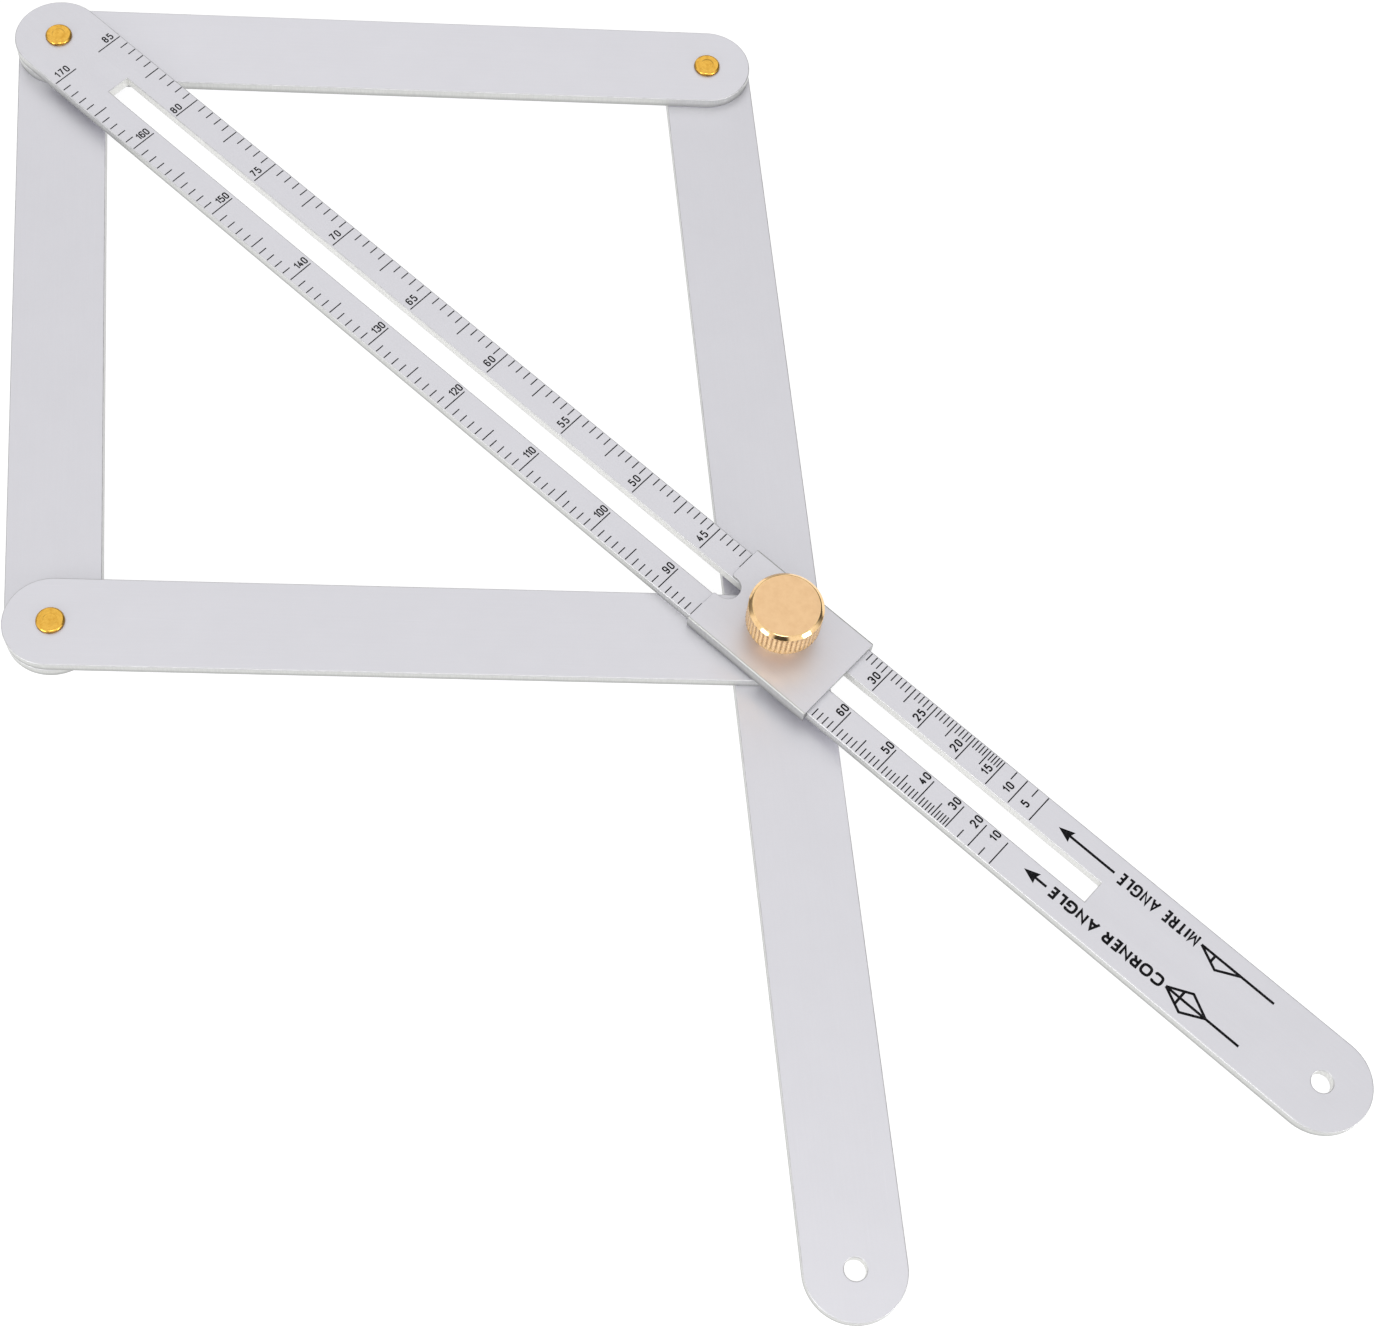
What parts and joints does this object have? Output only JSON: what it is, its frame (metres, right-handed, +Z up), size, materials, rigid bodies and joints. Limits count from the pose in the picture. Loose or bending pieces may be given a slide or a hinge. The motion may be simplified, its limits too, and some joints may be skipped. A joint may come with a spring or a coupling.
{
  "type": "angle-bisecting sliding bevel",
  "caption": "Angle-bisecting bevel: four flat bars pivoted into a rhombus on a slotted, graduated scale, with a slider and a knurled clamp knob that locks the angle.",
  "frame": {"origin": "middle of the footprint's bounding box, on the surface that the tool lies on", "axes": "+X along the scale from the apex rivet to the hanging hole, +Y to the side of the arm that the long arm is pivoted on, +Z up through the knob"},
  "size_m": [0.38, 0.2226, 0.02],
  "materials": {
    "bar_aluminium": "satin anodised, fine grain",
    "slider_aluminium": "satin anodised, folded sheet",
    "rivet_brass": "peened, semi-polished",
    "knob_brass": "satin top, polished bevel, straight knurl",
    "stud_steel": "turned",
    "scale_ink": "printed, matt"
  },
  "bodies": {
    "scale": {"scale_ruler": "bar_aluminium", "apex_rivet": "rivet_brass", "half_angle_scale": "scale_ink", "included_angle_scale": "scale_ink"},
    "top_arm": {"top_arm": "bar_aluminium"},
    "left_arm": {"left_arm": "bar_aluminium", "lower_rivet": "rivet_brass"},
    "long_arm": {"long_arm": "bar_aluminium", "upper_rivet": "rivet_brass", "clamp_stud": "stud_steel"},
    "bottom_arm": {"bottom_arm": "bar_aluminium"},
    "slider": {"slider": "slider_aluminium"},
    "washer": {"knob_washer": "knob_brass"},
    "knob": {"clamp_knob": "knob_brass"}
  },
  "joints": [
    {"name": "arm_opening", "type": "hinge", "parent": "scale", "child": "top_arm", "pos_m": [-0.18, 0, 0], "axis": [0, 0, 1], "range_deg": [-37.5, 42.5]},
    {"name": "left_arm_swing", "type": "hinge", "parent": "scale", "child": "left_arm", "pos_m": [-0.18, 0, 0], "axis": [0, 0, 1], "range_deg": [-42.5, 37.5]},
    {"name": "long_arm_swing", "type": "hinge", "parent": "top_arm", "child": "long_arm", "pos_m": [-0.06941, 0.10134, 0], "axis": [0, 0, 1], "range_deg": [-85, 75]},
    {"name": "bottom_arm_swing", "type": "hinge", "parent": "left_arm", "child": "bottom_arm", "pos_m": [-0.06941, -0.10134, 0], "axis": [0, 0, 1], "range_deg": [-75, 85]},
    {"name": "slider_swing", "type": "hinge", "parent": "long_arm", "child": "slider", "pos_m": [0.04118, 0, 0], "axis": [0, 0, 1], "range_deg": [-37.5, 42.5]},
    {"name": "knob_lift", "type": "slide", "parent": "slider", "child": "washer", "axis": [0, 0, 1], "range_m": [0, 0.00161]},
    {"name": "knob_turn", "type": "hinge", "parent": "washer", "child": "knob", "pos_m": [0.04118, 0, 0], "axis": [0, 0, 1], "range_deg": [0, 720]}
  ],
  "couplings": [
    {"joint": "left_arm_swing", "follows": "arm_opening", "ratio": -1},
    {"joint": "long_arm_swing", "follows": "arm_opening", "ratio": -2},
    {"joint": "bottom_arm_swing", "follows": "arm_opening", "ratio": 2},
    {"joint": "slider_swing", "follows": "arm_opening", "ratio": 1},
    {"joint": "knob_lift", "follows": "knob_turn", "m_per_rad": 0.00012732}
  ]
}
